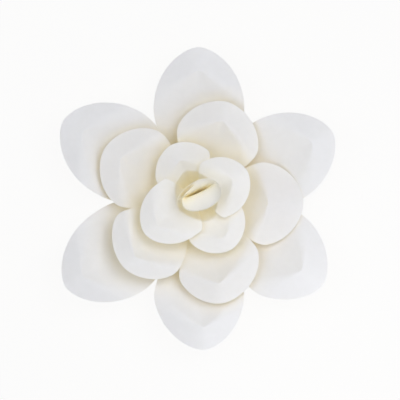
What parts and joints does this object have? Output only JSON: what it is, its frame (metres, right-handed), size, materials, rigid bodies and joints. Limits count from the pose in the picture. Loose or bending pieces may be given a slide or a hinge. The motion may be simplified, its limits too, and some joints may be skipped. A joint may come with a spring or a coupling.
{
  "type": "giant paper flower",
  "caption": "Large layered flower of folded white card petals with a rolled bud, glued on a round card disc; a wall or table decoration that lies on its flat back.",
  "frame": {"origin": "middle of the back face of the base disc", "axes": "+Z out of the flower's face, +Y towards the petal at the top of the picture, +X to the right"},
  "size_m": [0.3693, 0.4065, 0.083],
  "materials": {
    "disc_card": "matt",
    "outer_card": "matt",
    "middle_card": "matt",
    "inner_card": "matt",
    "bud_card": "matt"
  },
  "bodies": {
    "root": {"base_disc": "disc_card", "outer_petal_1": "outer_card", "outer_petal_2": "outer_card", "outer_petal_3": "outer_card", "outer_petal_4": "outer_card", "outer_petal_5": "outer_card", "outer_petal_6": "outer_card", "middle_petal_1": "middle_card", "middle_petal_2": "middle_card", "middle_petal_3": "middle_card", "middle_petal_4": "middle_card", "middle_petal_5": "middle_card", "inner_petal_1": "inner_card", "inner_petal_2": "inner_card", "inner_petal_3": "inner_card", "inner_petal_4": "inner_card", "centre_bud": "bud_card"}
  },
  "joints": []
}
